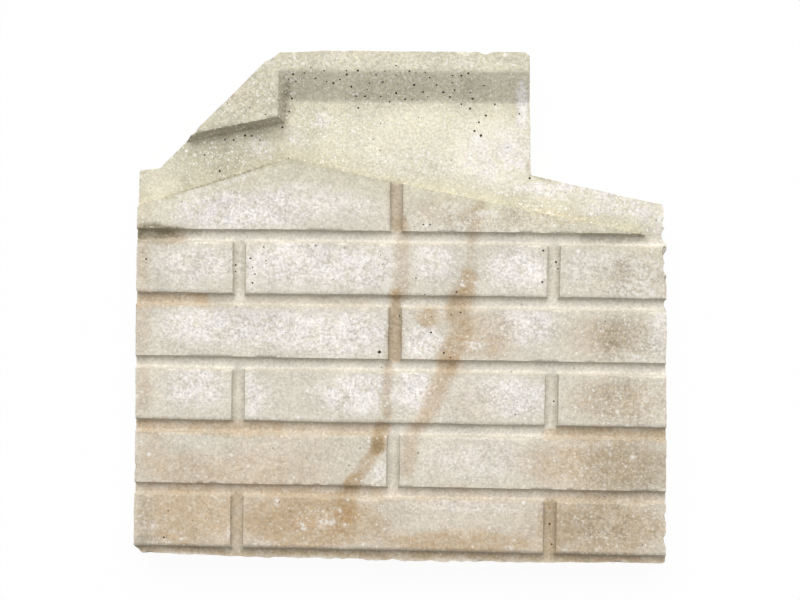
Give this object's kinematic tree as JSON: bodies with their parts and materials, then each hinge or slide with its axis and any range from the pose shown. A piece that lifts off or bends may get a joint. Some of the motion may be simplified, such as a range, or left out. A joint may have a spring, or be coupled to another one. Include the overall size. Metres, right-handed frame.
{
  "type": "refractory panel",
  "caption": "Cast refractory firebox side panel with a brick-pattern face, a sloped top corner, a notched top corner and a smooth recess under a raised rim.",
  "frame": {"origin": "middle of the panel's box, on its flat back", "axes": "+X along the foot, to the right as seen from the brick face; +Y up the panel as it stands in the firebox; +Z out of the brick face"},
  "size_m": [0.531, 0.504, 0.038],
  "materials": {
    "refractory_concrete": "matt cast refractory concrete, cream to tan, with pores, white aggregate and rusty soot streaks"
  },
  "bodies": {
    "root": {"refractory_panel": "refractory_concrete"}
  },
  "joints": []
}
